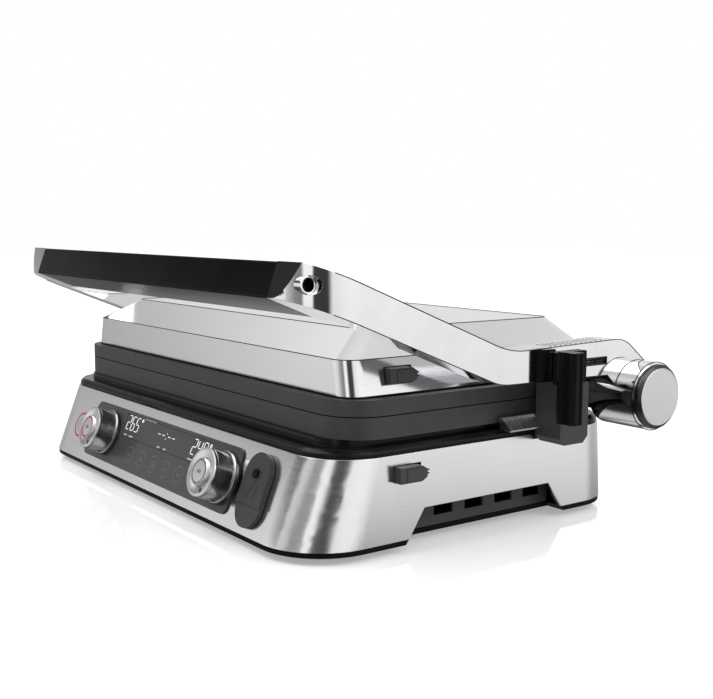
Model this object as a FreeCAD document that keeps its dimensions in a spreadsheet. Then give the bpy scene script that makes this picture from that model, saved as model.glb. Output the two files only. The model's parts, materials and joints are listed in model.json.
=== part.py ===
"""Panini press (contact grill) with a floating upper plate, as a parametric assembly.

Millimetres. X is left to right, Y runs from the handle's front edge (Y = 0) to the back, Z is up from
the table. Every finished piece is then moved by half the depth, so that the origin is at the bottom
centre of the whole press.
"""
import FreeCAD, Part
import math
import os
import re
import Sketcher
from FreeCAD import Vector

# Driving dimensions. Each can be set by itself.
SIZES = {
    # base
    "base_width": 380, "base_depth": 252, "base_setback": 8, "skirt_wall": 1.5,
    "foot_height": 4, "skirt_low": 7, "skirt_top": 56, "front_lean": 19.6, "side_lean": 2,
    "base_corner_front": 40, "base_corner_rear": 35, "foot_radius": 10, "foot_inset": 42,
    "foot_shift": 12, "screw_radius": 1.6, "screw_head": 3.2, "pan_wall": 2.5, "pan_top": 30,
    "arch_front": 81, "arch_from_rear": 57, "arch_top": 23.5, "arch_slope": 11, "arch_deep": 14,
    "vent_count": 5,
    # deck and plates
    "deck_edge": 5, "deck_rise": 4, "deck_step": 10, "deck_inset": 0.8, "deck_bevel": 2.4,
    "well_side": 34, "well_front": 62, "well_from_rear": 38, "well_corner": 10,
    "plate_side": 6, "plate_front": 41, "plate_from_rear": 27, "plate_corner": 28, "plate_rim": 7,
    "lower_plate_tall": 12.4, "plate_gap": 0.6, "upper_plate_tall": 9.2,
    "grid_floor": 3, "grid_deep": 5, "rib_tall": 2.6, "rib_wide": 4.5, "rib_count": 26,
    "rib_margin": 4, "heater_radius": 2.8, "heater_side": 32, "heater_front": 78,
    "heater_ahead": 17, "heater_bend": 24,
    # upper housing
    "frame_flange": 0.8, "frame_lip": 3, "shell_wall_tall": 20.3, "shell_roof_tall": 14.7,
    "shell_wall": 1.5, "shell_side": 9, "shell_side_rake": 4, "shell_roof_rake": 19,
    "shell_front": 48.5, "shell_front_top": 75, "shell_rear_lip": 6, "shell_rear_rake": 11,
    "shell_corner": 12, "shell_corner_rear": 7,
    # arms, handle and hinge
    "arm_gap": 2.5, "arm_wide": 20.5, "corner_long": 16.5, "handle_rise": 53, "handle_rake": 6.7,
    "handle_tall": 19, "handle_deep": 32, "arm_slope": 21.8, "arm_rise": 15, "arm_tall": 18.5,
    "front_knee": 40, "top_knee": 60, "rear_knee": 24, "corner_round": 34, "grip_round": 4,
    "hinge_inset": 9, "hub_radius": 21.5, "hub_drop": 9.5, "hub_proud": 14, "cap_step": 1.2,
    "cap_thick": 5, "shaft_radius": 8, "bracket_gap": 0.9, "bracket_wide": 25.6, "bracket_half": 12,
    "float_ahead": 22, "float_rise": 9, "float_radius": 5, "slot_ahead": 29, "slot_long": 36,
    "slot_rise": 6, "slot_tall": 4.6, "holder_y": 9, "holder_rise": 7.5, "holder_radius": 5,
    "holder_wall": 1.6,
    # height adjuster
    "adjuster_ahead": 14, "adjuster_long": 28, "foot_drop": 4, "foot_gap": 0.6, "slider_thick": 4,
    "paddle_wide": 15, "paddle_below": 25, "paddle_short": 1, "paddle_thick": 9,
    # front panel, in its own leaning plane: U along X, V up the slope
    "panel_left_margin": 79, "panel_right_margin": 85, "panel_low": 6, "panel_top_margin": 6.27,
    "panel_corner": 6, "panel_proud": 1.4, "window_left_margin": 53, "window_right_margin": 35,
    "window_margin": 2.5, "window_tall": 16, "left_knob_margin": 33, "right_knob_margin": 13,
    "knob_radius": 15, "knob_high": 18, "knob_flange": 1.6, "button_radius": 8.5,
    "encoder_radius": 6.5, "cover_aside": 24, "cover_half": 12.5, "cover_tall": 44,
    "cover_thick": 4, "jack_radius": 3.2, "jack_drop": 10, "pivot_radius": 1.5,
    # release buttons
    "lower_button_y": 80, "lower_button_drop": 10.8, "upper_button_y": 85, "upper_button_rise": 10.4,
    "release_long": 19, "release_tall": 9, "release_deep": 14, "release_proud": 5.5,
    # inside and back
    "tray_half": 58, "tray_front": 100, "tray_lip": 3, "tray_low": 15, "tray_tall": 18,
    "tray_wall": 2, "rail_high": 14.8, "board_thick": 1.6, "stand_deep": 5, "gland_radius": 6,
    "gland_bore": 3.5, "tab_ahead": 26, "tab_thick": 1.6,
    # running clearances
    "clearance": 0.3, "shaft_play": 0.06,
}

# Places and lengths that follow from the driving dimensions and from each other.
PLACES = {
    "base_half": "base_width / 2",
    "base_rear": "base_setback + base_depth",
    "arch_rear": "base_rear - arch_from_rear",
    # upwards
    "deck_rim": "skirt_top + deck_edge",
    "deck_top": "deck_rim + deck_rise",
    "lower_plate_top": "deck_top + lower_plate_tall",
    "upper_plate_top": "lower_plate_top + plate_gap + upper_plate_tall",
    "shell_low": "upper_plate_top + frame_flange",
    "frame_high": "shell_low + frame_lip",
    "shell_crease": "shell_low + shell_wall_tall",
    "shell_top": "shell_crease + shell_roof_tall",
    "hinge_z": "deck_top + hub_radius - hub_drop",
    "arm_low_rear": "hinge_z + arm_rise",
    "arm_high_rear": "arm_low_rear + arm_tall",
    "handle_low": "arm_low_rear + handle_rise",
    "holder_z": "handle_low + holder_rise",
    "float_z": "arm_low_rear + float_rise",
    "slot_low": "arm_low_rear + slot_rise",
    "slot_high": "slot_low + slot_tall",
    "foot_low": "skirt_top - foot_drop",
    "paddle_low": "arm_low_rear - paddle_below",
    "paddle_high": "arm_high_rear - paddle_short",
    "lower_button_z": "skirt_top - lower_button_drop",
    "upper_button_z": "shell_low + upper_button_rise",
    # backwards
    "well_rear": "base_rear - well_from_rear",
    "heater_rear": "well_rear - heater_ahead",
    "plate_rear": "base_rear - plate_from_rear",
    "shell_rear": "plate_rear + shell_rear_lip",
    "shell_rear_top": "shell_rear - shell_rear_rake",
    "hinge_y": "base_rear - hinge_inset",
    "float_y": "hinge_y - float_ahead",
    "slot_rear": "hinge_y - slot_ahead",
    "slot_front": "slot_rear - slot_long",
    "adjuster_front": "slot_front - adjuster_ahead",
    "adjuster_rear": "adjuster_front + adjuster_long",
    "tab_front": "adjuster_front - tab_ahead",
    "tray_rear": "base_rear + tray_lip",
    # outwards
    "plate_half": "base_half - plate_side",
    "well_half": "plate_half - well_side",
    "heater_half": "well_half - heater_side",
    "shell_half_low": "plate_half - shell_side",
    "shell_half_mid": "shell_half_low - shell_side_rake",
    "shell_half_top": "shell_half_mid - shell_roof_rake",
    "arm_inner": "plate_half + arm_gap",
    "arm_outer": "arm_inner + arm_wide",
    "grip_half": "arm_inner - corner_long",
    "hub_outer": "arm_outer + hub_proud",
    "cap_radius": "hub_radius - cap_step",
    "bracket_outer": "arm_inner - bracket_gap",
    "bracket_inner": "bracket_outer - bracket_wide",
    "foot_inner": "base_half + foot_gap",
    "slider_outer": "arm_outer + slider_thick",
    "paddle_outer": "slider_outer + paddle_wide",
    # on the leaning front
    "slant": "sqrt((skirt_top - skirt_low) ^ 2 + front_lean ^ 2)",
    "panel_left": "base_half - panel_left_margin",
    "panel_right": "base_half - panel_right_margin",
    "panel_high": "slant - panel_top_margin",
    "window_left": "panel_left - window_left_margin",
    "window_right": "panel_right - window_right_margin",
    "window_high": "panel_high - window_margin",
    "window_low": "window_high - window_tall",
    "left_knob_u": "left_knob_margin - panel_left",
    "right_knob_u": "panel_right - right_knob_margin",
    "knob_v": "(panel_low + panel_high) / 2",
    "cover_u": "panel_right + cover_aside",
    "cover_v": "knob_v",
    "jack_v": "cover_v - jack_drop",
    "pivot_v": "cover_v + cover_tall / 2 - cover_half",
}

DOC = FreeCAD.newDocument("panini_press")
SHEET = DOC.addObject("Spreadsheet::Sheet", "Sizes")
for row, (alias, size) in enumerate(SIZES.items(), start=1):
    SHEET.set(f"A{row}", alias)
    SHEET.set(f"B{row}", str(size))
    SHEET.setAlias(f"B{row}", alias)
DOC.recompute()

LEAN = "atan(front_lean / (skirt_top - skirt_low))"
FRONT_TILT = f"90 deg - {LEAN}"
DIAL_FRONT = f"base_setback + (knob_v - knob_radius) * sin({LEAN}) - knob_high * cos({LEAN})"
MIDDLE_Y = f"((min(0; {DIAL_FRONT}) + hinge_y + hub_radius) / 2)"
PIECES = []


def ref(text):
    """An expression in the sheet's names, written as FreeCAD wants it."""
    def spelled(word):
        name = word.group()
        if name in PLACES:
            return f"({ref(PLACES[name])})"
        return "Sizes." * (name in SIZES) + name
    return re.sub(r"[a-z_]+", spelled, text)


def number(text):
    """The present value of such an expression."""
    value = SHEET.evalExpression(ref(text))
    return float(getattr(value, "Value", value))


def bind(thing, **sizes):
    for name, text in sizes.items():
        thing.setExpression(name, ref(text))
    return thing


def place(thing, x="0", y="0", z="0", axis=None, angle="0"):
    if axis:
        thing.Placement.Rotation = FreeCAD.Rotation(Vector(*axis), number(angle))
        thing.setExpression("Placement.Rotation.Angle", ref(angle))
    for way, text in zip("xyz", (x, y, z)):
        thing.setExpression(f"Placement.Base.{way}", ref(text))
    return thing


def wrapped(thing):
    """A lone primitive keeps its own place, inside a group that can be moved."""
    return group(thing) if thing.TypeId in ("Part::Box", "Part::Cylinder", "Part::Mirroring") else thing


def finish(thing, label):
    """Name a finished piece and move it into the press's own frame."""
    thing = wrapped(thing)
    thing.Label = label
    place(thing, y=f"-{MIDDLE_Y}")
    PIECES.append(thing)
    return thing


def finish_on_front(thing, label):
    """The same, for a piece drawn in the leaning plane of the front."""
    thing = wrapped(thing)
    thing.Label = label
    place(thing, y=f"base_setback - {MIDDLE_Y}", z="skirt_low", axis=(1, 0, 0), angle=FRONT_TILT)
    PIECES.append(thing)
    return thing


# ---- primitives and booleans ---------------------------------------------------------------------

def box(x, y, z):
    """A box from three (low, high) pairs of expressions."""
    block = DOC.addObject("Part::Box", "block")
    bind(block, Length=f"{x[1]} - ({x[0]})", Width=f"{y[1]} - ({y[0]})", Height=f"{z[1]} - ({z[0]})")
    return place(block, x[0], y[0], z[0])


TURNS = {"x": ((0, 1, 0), "90"), "y": ((1, 0, 0), "-90"), "z": (None, "0")}


def rod(way, radius, centre, low, high):
    """A cylinder along an axis; centre is its place across that axis, in X, Y, Z order."""
    cylinder = DOC.addObject("Part::Cylinder", "rod")
    bind(cylinder, Radius=radius, Height=f"{high} - ({low})")
    spot = list(centre)
    spot.insert("xyz".index(way), low)
    axis, angle = TURNS[way]
    return place(cylinder, *spot, axis=axis, angle=angle)


def cut(base, *tools):
    result = DOC.addObject("Part::Cut", "cut")
    result.Base = base
    result.Tool = tools[0] if len(tools) == 1 else join(*tools)
    return result


def join(*shapes):
    result = DOC.addObject("Part::MultiFuse", "joined")
    result.Shapes = list(shapes)
    return result


def group(*shapes):
    """Separate solids that share one node."""
    result = DOC.addObject("Part::Compound", "group")
    result.Links = list(shapes)
    return result


def mirrored(shape):
    result = DOC.addObject("Part::Mirroring", "mirrored")
    result.Source = shape
    result.Normal = Vector(1, 0, 0)
    return result


def tube(way, outer, inner, centre, low, high):
    return cut(rod(way, outer, centre, low, high),
               rod(way, inner, centre, f"{low} - 1", f"{high} + 1"))


# ---- sketches and PartDesign features ------------------------------------------------------------

def new_body(name):
    return DOC.addObject("PartDesign::Body", f"{name}_form")


def sketch(body, plane, offset):
    drawing = body.newObject("Sketcher::SketchObject", "outline")
    origin = [feature for feature in body.Origin.OriginFeatures if feature.Role == plane][0]
    drawing.AttachmentSupport = [(origin, "")]
    drawing.MapMode = "FlatFace"
    drawing.setExpression("AttachmentOffset.Base.z", ref(offset))
    return drawing


def measure(drawing, kind, *parts, text):
    """A driven distance or radius; a point at 0 is held on the axis instead."""
    if text == "0":
        axis = -2 if kind == "DistanceX" else -1
        drawing.addConstraint(Sketcher.Constraint("PointOnObject", *parts[2:4], axis))
        return
    index = drawing.addConstraint(Sketcher.Constraint(kind, *parts, number(text)))
    drawing.setExpression(f"Constraints[{index}]", ref(text))


def rounded_outline(body, height, left, right, low, high, low_radius, high_radius):
    """A rectangle with round corners, parallel to the table; left and right are positive."""
    drawing = sketch(body, "XY_Plane", height)
    west, east, south, north = -number(left), number(right), number(low), number(high)
    near, far = number(low_radius), number(high_radius)
    corners = [(east - near, south + near, near), (east - far, north - far, far),
               (west + far, north - far, far), (west + near, south + near, near)]
    ends = []
    for quarter, (x, y, radius) in enumerate(corners):
        start = math.pi / 2 * (quarter - 1)
        circle = Part.Circle(Vector(x, y, 0), Vector(0, 0, 1), radius)
        drawing.addGeometry(Part.ArcOfCircle(circle, start, start + math.pi / 2))
        ends.append([Vector(x + radius * math.cos(turn), y + radius * math.sin(turn), 0)
                     for turn in (start, start + math.pi / 2)])
    for quarter in range(4):
        after = (quarter + 1) % 4
        drawing.addGeometry(Part.LineSegment(ends[quarter][1], ends[after][0]))
    for quarter in range(4):
        after = (quarter + 1) % 4
        drawing.addConstraint(Sketcher.Constraint("Tangent", quarter, 2, 4 + quarter, 1))
        drawing.addConstraint(Sketcher.Constraint("Tangent", 4 + quarter, 2, after, 1))
    for line, kind in ((4, "Vertical"), (5, "Horizontal"), (6, "Vertical"), (7, "Horizontal")):
        drawing.addConstraint(Sketcher.Constraint(kind, line))
    drawing.addConstraint(Sketcher.Constraint("Equal", 0, 3))
    drawing.addConstraint(Sketcher.Constraint("Equal", 1, 2))
    measure(drawing, "Radius", 0, text=low_radius)
    measure(drawing, "Radius", 1, text=high_radius)
    measure(drawing, "DistanceX", -1, 1, 4, 1, text=right)
    measure(drawing, "DistanceX", 6, 1, -1, 1, text=left)
    measure(drawing, "DistanceY", -1, 1, 7, 1, text=low)
    measure(drawing, "DistanceY", -1, 1, 5, 1, text=high)
    return drawing


def polygon(body, plane, offset, points):
    """A closed outline of straight lines; each point is a pair of positive expressions."""
    drawing = sketch(body, plane, offset)
    spots = [Vector(number(across), number(up), 0) for across, up in points]
    count = len(spots)
    for index in range(count):
        drawing.addGeometry(Part.LineSegment(spots[index], spots[(index + 1) % count]))
    for index in range(count):
        drawing.addConstraint(Sketcher.Constraint("Coincident", index, 2, (index + 1) % count, 1))
    for index, (across, up) in enumerate(points):
        measure(drawing, "DistanceX", -1, 1, index, 1, text=across)
        measure(drawing, "DistanceY", -1, 1, index, 1, text=up)
    return drawing


def feature(body, kind, drawing, length=None, reverse=False, others=()):
    made = body.newObject(f"PartDesign::{kind}", kind.lower())
    made.Profile = drawing
    made.Refine = True
    if length:
        made.setExpression("Length", ref(length))
        made.Reversed = reverse
    if others:
        made.Sections = list(others)
        made.Ruled = True
    return made


def slab(name, low, high, half, front, rear, front_radius, rear_radius):
    """A flat block with round corners, centred on X = 0."""
    body = new_body(name)
    drawing = rounded_outline(body, low, half, half, front, rear, front_radius, rear_radius)
    feature(body, "Pad", drawing, f"{high} - ({low})")
    return body


def sink(body, low, high, half, front, rear, front_radius, rear_radius):
    """Pocket a slab between two heights."""
    drawing = rounded_outline(body, low, half, half, front, rear, front_radius, rear_radius)
    feature(body, "Pocket", drawing, f"{high} - ({low})", reverse=True)
    return body


def lofted(body, sections, kind="AdditiveLoft"):
    """Ruled walls through rounded outlines, one section to the next."""
    for lower, upper in zip(sections, sections[1:]):
        first, second = (rounded_outline(body, level, half, half, *rest)
                         for level, half, *rest in (lower, upper))
        feature(body, kind, first, others=[second])
    return body


def inset(section, wall, height=None):
    """The same section, moved inwards by a wall."""
    level, half, front, rear, front_radius, rear_radius = section
    return (height or level, f"{half} - ({wall})", f"{front} + {wall}", f"{rear} - ({wall})",
            f"{front_radius} - ({wall})", f"{rear_radius} - ({wall})")


def side_prism(name, points, low, high):
    """An outline in the YZ plane, run along X."""
    body = new_body(name)
    feature(body, "Pad", polygon(body, "YZ_Plane", low, points), f"{high} - ({low})")
    return body


def soften(body, radius, *spots):
    """Round the edges whose middles lie nearest to the given points."""
    DOC.recompute()
    base = body.Tip
    names = []
    for spot in spots:
        goal = Vector(*[number(text) for text in spot])
        gaps = [edge.CenterOfMass.distanceToPoint(goal) for edge in base.Shape.Edges]
        names.append(f"Edge{gaps.index(min(gaps)) + 1}")
    rounding = body.newObject("PartDesign::Fillet", "rounding")
    rounding.Base = (base, names)
    rounding.setExpression("Radius", ref(radius))
    return body


# ---- base ----------------------------------------------------------------------------------------

SKIRT = [("skirt_low", "base_half", "base_setback", "base_rear",
          "base_corner_front", "base_corner_rear"),
         ("skirt_top", "base_half - side_lean", "base_setback + front_lean",
          "base_rear - side_lean", "base_corner_front - 6", "base_corner_rear - side_lean")]


def skirt_section(height, wall):
    """The skirt's outline at a height on its leaning walls, moved inwards by a wall."""
    share = f"(({height}) - skirt_low) / (skirt_top - skirt_low)"
    between = [f"({low}) + ({high} - ({low})) * {share}" for low, high in zip(*SKIRT)]
    return inset([height] + between[1:], wall)


def arch_cutter(inner):
    """The low arch in each side, as a tool that starts at an inner X."""
    points = [("arch_front - 4", "foot_height - 2"), ("arch_rear + 4", "foot_height - 2"),
              ("arch_rear - arch_slope", "arch_top"), ("arch_front + arch_slope", "arch_top")]
    right = side_prism("arch", points, inner, "base_half + 5")
    return join(right, mirrored(right))


def front_tool(shape):
    """Set a tool that is drawn in the front's leaning plane where the skirt is drawn."""
    return place(shape, y="base_setback", z="skirt_low", axis=(1, 0, 0), angle=FRONT_TILT)


def release_box(y, z, low, high, play):
    long, tall = f"(release_long / 2 + {play})", f"(release_tall / 2 + {play})"
    return box((low, high), (f"{y} - {long}", f"{y} + {long}"), (f"{z} - {tall}", f"{z} + {tall}"))


def steel_skirt():
    body = lofted(new_body("skirt"), SKIRT)
    inner = [inset(SKIRT[0], "skirt_wall"), inset(SKIRT[1], "skirt_wall")]
    lofted(body, inner, "SubtractiveLoft")
    window = box(("-panel_left + 10", "panel_right - 5"), ("panel_low + 4", "window_high + clearance"),
                 ("-6", "6"))
    jack = rod("z", "jack_radius + 2", ("cover_u", "jack_v"), "-6", "6")
    pivot = rod("z", "pivot_radius", ("cover_u", "pivot_v"), "-6", "6")
    openings = front_tool(join(window, jack, pivot))
    button = release_box("lower_button_y", "lower_button_z", "base_half - 12",
                         "base_half + 2", "clearance")
    tray = box(("-tray_half - 1", "tray_half + 1"), ("base_rear - 10", "base_rear + 2"),
               ("tray_low - 1", "tray_low + tray_tall + 1"))
    arches = arch_cutter("base_half - arch_deep")
    finish(cut(body, join(openings, button, tray, arches)), "steel_skirt")


def base_pan():
    floor = inset(SKIRT[0], "clearance", "foot_height")
    body = slab("pan", "foot_height", "skirt_low", *floor[1:])
    lofted(body, [skirt_section("skirt_low", "skirt_wall + clearance"),
                  skirt_section("pan_top", "skirt_wall + clearance")])
    lofted(body, [skirt_section("skirt_low", "skirt_wall + pan_wall"),
                  skirt_section("pan_top", "skirt_wall + pan_wall")], "SubtractiveLoft")
    tray = box(("-tray_half - 1", "tray_half + 1"), ("base_rear - 10", "base_rear + 2"),
               ("tray_low - 1", "pan_top + 4"))
    panel = box(("-panel_left", "panel_right"), ("base_setback + 1", "base_setback + 24"),
                ("skirt_low + 2", "pan_top + 1"))
    screws = join(*(rod("z", "screw_radius + 0.1", spot, "0", "skirt_low + 1")
                    for spot in foot_places()))
    jack = front_tool(group(rod("z", "jack_radius + 4", ("cover_u", "jack_v"), "-20", "0")))
    tools = join(arch_cutter("base_half - arch_deep"), tray, panel, screws, jack)
    finish(cut(body, tools), "base_pan")


def foot_places():
    return [(f"{side} * (base_half - foot_inset)", y) for side in (-1, 1)
            for y in ("base_setback + foot_inset - foot_shift", "base_rear - foot_inset + foot_shift")]


def feet_and_screws():
    feet = [cut(rod("z", "foot_radius", spot, "0", "foot_height"),
                rod("z", "screw_head + 0.2", spot, "-1", "2.6"),
                rod("z", "screw_radius + 0.1", spot, "2", "foot_height + 1"))
            for spot in foot_places()]
    finish(group(*feet), "rubber_feet")
    screws = [join(rod("z", "screw_head", spot, "0.8", "2.6"),
                   rod("z", "screw_radius", spot, "2.4", "skirt_low + 4"))
              for spot in foot_places()]
    finish(group(*screws), "foot_screws")


def side_vents():
    """A slotted grille at the back of each arch."""
    inner = "base_half - arch_deep"
    plate = box((f"{inner} - 2.2", f"{inner} - 0.2"), ("arch_front - 2", "arch_rear + 2"),
                ("skirt_low + 0.2", "arch_top + 4"))
    pitch = "(arch_rear - arch_front) / vent_count"
    slots = []
    for index in range(int(number("vent_count"))):
        start = f"arch_front + ({index} + 0.2) * {pitch}"
        slots.append(box((f"{inner} - 4", f"{inner} + 1"), (start, f"{start} + 0.6 * {pitch}"),
                         ("skirt_low + 6", "arch_top - 4")))
    right = cut(plate, *slots)
    finish(group(right, mirrored(right)), "side_vents")


def top_deck():
    top = SKIRT[1]
    rim = ["deck_rim"] + list(inset(top, "deck_inset")[1:])
    body = slab("deck", "skirt_top", "deck_rim", *rim[1:])
    plateau = inset(rim, "deck_step")
    drawing = rounded_outline(body, "deck_rim", plateau[1], *plateau[1:])
    feature(body, "Pad", drawing, "deck_top - deck_rim")
    sink(body, "skirt_top", "deck_top", "well_half", "well_front", "well_rear", "well_corner",
         "well_corner")
    edge = ("0", rim[2], "deck_rim")
    soften_chain(body, edge, "deck_bevel")
    finish(body, "top_deck")


def soften_chain(body, spot, size):
    """Chamfer an edge and those that run on from it."""
    DOC.recompute()
    base = body.Tip
    goal = Vector(*[number(text) for text in spot])
    gaps = [edge.CenterOfMass.distanceToPoint(goal) for edge in base.Shape.Edges]
    bevel = body.newObject("PartDesign::Chamfer", "bevel")
    bevel.Base = (base, [f"Edge{gaps.index(min(gaps)) + 1}"])
    bevel.setExpression("Size", ref(size))
    return body


def grill_plate(label, back, face, open_face):
    """A cast plate: back is the heater side, face the cooking side."""
    upright = number(face) > number(back)
    low, high = (back, face) if upright else (face, back)
    edge = ("plate_half", "plate_front", "plate_rear", "plate_corner", "12")
    body = slab(label, low, high, *edge)
    _, *inner = inset(["0"] + list(edge), "plate_rim")
    if upright:
        sink(body, open_face, high, *inner)
        sink(body, low, f"{open_face} - grid_floor", *inner)
    else:
        sink(body, low, open_face, *inner)
        sink(body, f"{open_face} + grid_floor", high, *inner)
    first = f"-({inner[0]}) + 6"
    pitch = f"(2 * ({inner[0]}) - 12 - rib_wide) / (rib_count - 1)"
    drawing = sketch(body, "XY_Plane", open_face)
    rib_outline(drawing, first, "plate_front + plate_rim + rib_margin",
                "plate_rear - plate_rim - rib_margin")
    rib = feature(body, "Pad", drawing, "rib_tall", reverse=not upright)
    row = body.newObject("PartDesign::LinearPattern", "ribs")
    row.Originals = [rib]
    row.Direction = (drawing, ["H_Axis"])
    row.setExpression("Length", ref(f"({pitch}) * (rib_count - 1)"))
    row.setExpression("Occurrences", ref("rib_count"))
    body.Tip = row
    return finish(body, label)


def rib_outline(drawing, left, low, high):
    """One rib's rectangle; left is negative."""
    west, east = number(left), number(f"{left} + rib_wide")
    south, north = number(low), number(high)
    corners = [Vector(west, south, 0), Vector(east, south, 0), Vector(east, north, 0),
               Vector(west, north, 0)]
    for index in range(4):
        drawing.addGeometry(Part.LineSegment(corners[index], corners[(index + 1) % 4]))
    for index in range(4):
        drawing.addConstraint(Sketcher.Constraint("Coincident", index, 2, (index + 1) % 4, 1))
    for line, kind in ((0, "Horizontal"), (1, "Vertical"), (2, "Horizontal"), (3, "Vertical")):
        drawing.addConstraint(Sketcher.Constraint(kind, line))
    measure(drawing, "DistanceX", 0, 1, -1, 1, text=f"-({left})")
    measure(drawing, "DistanceX", 0, 1, 0, 2, text="rib_wide")
    measure(drawing, "DistanceY", -1, 1, 0, 1, text=low)
    measure(drawing, "DistanceY", -1, 1, 2, 1, text=high)


def heater(label, height):
    """A sheathed element bent into a U, with its two ends turned to the back."""
    half, front, rear = number("heater_half"), number("heater_front"), number("heater_rear")
    bend, level = number("heater_bend"), number(height)
    points = [Vector(-half, rear, level), Vector(-half, front + bend, level),
              Vector(-half + bend, front, level), Vector(half - bend, front, level),
              Vector(half, front + bend, level), Vector(half, rear, level)]
    turn = bend * (1 - math.sqrt(0.5))
    edges = [Part.LineSegment(points[0], points[1]).toShape(),
             Part.Arc(points[1], Vector(-half + turn, front + turn, level), points[2]).toShape(),
             Part.LineSegment(points[2], points[3]).toShape(),
             Part.Arc(points[3], Vector(half - turn, front + turn, level), points[4]).toShape(),
             Part.LineSegment(points[4], points[5]).toShape()]
    path = Part.Wire(edges)
    circle = Part.Circle(points[0], Vector(0, 1, 0), number("heater_radius")).toShape()
    element = DOC.addObject("Part::Feature", "element")
    element.Shape = path.makePipeShell([Part.Wire([circle])], True, True)
    finish(element, label)


def reflector(label, low, wall_high):
    """A pressed tray behind a heater, with a slot for the fat to drain."""
    body = slab(label, low, wall_high, "well_half - 1", "well_front + 1", "well_rear - 1",
                "well_corner - 1", "well_corner - 1")
    sink(body, f"{low} + 1", wall_high, "well_half - 2", "well_front + 2", "well_rear - 2",
         "well_corner - 2", "well_corner - 2")
    return body


def lower_cooking():
    tray = cut(reflector("lower_reflector", "skirt_top", "deck_top"),
               box(("-30", "30"), ("well_rear - 30", "well_rear - 20"), ("skirt_top - 1", "skirt_top + 2")))
    finish(tray, "lower_reflector")
    grid = "lower_plate_top - grid_deep + 1"
    grill_plate("lower_grill_plate", "deck_top", "lower_plate_top", grid)
    heater("lower_heater", f"{grid} - grid_floor - 0.2 - heater_radius")


def front_slab(name, low, high, left, right, south, north, radius):
    """A rounded plate in the front's leaning plane."""
    body = new_body(name)
    drawing = rounded_outline(body, low, left, right, south, north, radius, radius)
    feature(body, "Pad", drawing, f"{high} - ({low})")
    return body


def window(play, low, high):
    return box((f"-window_left - {play}", f"window_right + {play}"),
               (f"window_low - {play}", f"window_high + {play}"), (low, high))


def control_panel():
    plate = front_slab("panel", "0.1", "panel_proud", "panel_left", "panel_right", "panel_low",
                       "panel_high", "panel_corner")
    holes = [rod("z", "encoder_radius + clearance", (u, "knob_v"), "-1", "panel_proud + 1")
             for u in ("left_knob_u", "right_knob_u")]
    finish_on_front(cut(plate, window("0.2", "-1", "panel_proud + 1"), *holes), "control_panel")
    finish_on_front(window("0", "-0.8", "panel_proud - 0.3"), "display_window")
    glass_back = box(("-window_left - 4", "window_right + 4"), ("window_low - 3", "window_high - 1"),
                     ("-4.4", "-1"))
    finish_on_front(glass_back, "display_module")
    board = box(("-panel_left + 14", "panel_right - 10"), ("panel_low + 5", "panel_high - 6"),
                ("-4.6 - board_thick", "-4.6"))
    posts = [rod("z", "2", (u, "panel_low + 7"), "-4.6", "0") for u in ("-40", "40")]
    finish_on_front(join(board, *posts), "control_board")


def dial(side):
    """An encoder, its dial and the push button in the middle of the dial."""
    spot = (f"{side}_knob_u", "knob_v")
    face = "knob_high"
    floor = "panel_proud + 4.5"
    encoder = join(rod("z", "encoder_radius", spot, "-4.6", "panel_proud"),
                   rod("z", "3", spot, "panel_proud - 0.5", "panel_proud + 4"))
    finish_on_front(encoder, f"{side}_encoder")
    rim = "panel_proud + clearance"
    skirt = rod("z", "knob_radius + knob_flange", spot, rim, f"{rim} + 3")
    knob = rod("z", "knob_radius", spot, f"{rim} + 2.8", face)
    bore = rod("z", "3 + shaft_play", spot, "0", f"{floor} + 1")
    well = rod("z", "button_radius + clearance", spot, floor, f"{face} + 1")
    finish_on_front(cut(join(skirt, knob), bore, well), f"{side}_dial")
    button = rod("z", "button_radius", spot, f"{floor} + 2", f"{face} + 1")
    finish_on_front(button, f"{side}_dial_button")


def probe_port():
    """The meat probe's jack, and the oval flap that swivels over it on a screw."""
    spot = ("cover_u", "jack_v")
    collar = join(rod("z", "jack_radius + 1.7", spot, "-12", "0"),
                  rod("z", "jack_radius + 3.5", spot, "-4", "-1.7"))
    finish_on_front(cut(collar, rod("z", "jack_radius", spot, "-11", "1")), "probe_jack")
    low, high = "cover_v - cover_tall / 2", "cover_v + cover_tall / 2"
    flap = box(("cover_u - cover_half", "cover_u + cover_half"),
               (f"{low} + cover_half", f"{high} - cover_half"), ("clearance", "cover_thick"))
    ends = [rod("z", "cover_half", ("cover_u", v), "clearance", "cover_thick")
            for v in (f"{low} + cover_half", f"{high} - cover_half")]
    pivot = rod("z", "pivot_radius + shaft_play", ("cover_u", "pivot_v"), "0", "cover_thick + 1")
    finish_on_front(cut(join(flap, *ends), pivot), "probe_cover")
    screw = join(rod("z", "pivot_radius", ("cover_u", "pivot_v"), "-3", "cover_thick + 0.6"),
                 rod("z", "pivot_radius + 1.3", ("cover_u", "pivot_v"), "cover_thick + 0.3",
                     "cover_thick + 1.3"))
    finish_on_front(screw, "cover_screw")


def release(side_name, y, z, wall_x):
    """A push button for a plate's catch, sliding in a sleeve behind the wall."""
    outer = f"{wall_x} + release_proud"
    button = release_box(y, z, f"{outer} - release_deep", outer, "0")
    finish(button, f"{side_name}_release_button")
    sleeve_high = f"{wall_x} - skirt_wall - 1.6"
    sleeve = release_box(y, z, f"{wall_x} - release_deep - 4", sleeve_high, "clearance + 1.2")
    bore = release_box(y, z, f"{wall_x} - release_deep - 1", f"{sleeve_high} + 1", "clearance")
    finish(cut(sleeve, bore), f"{side_name}_button_sleeve")


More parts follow.
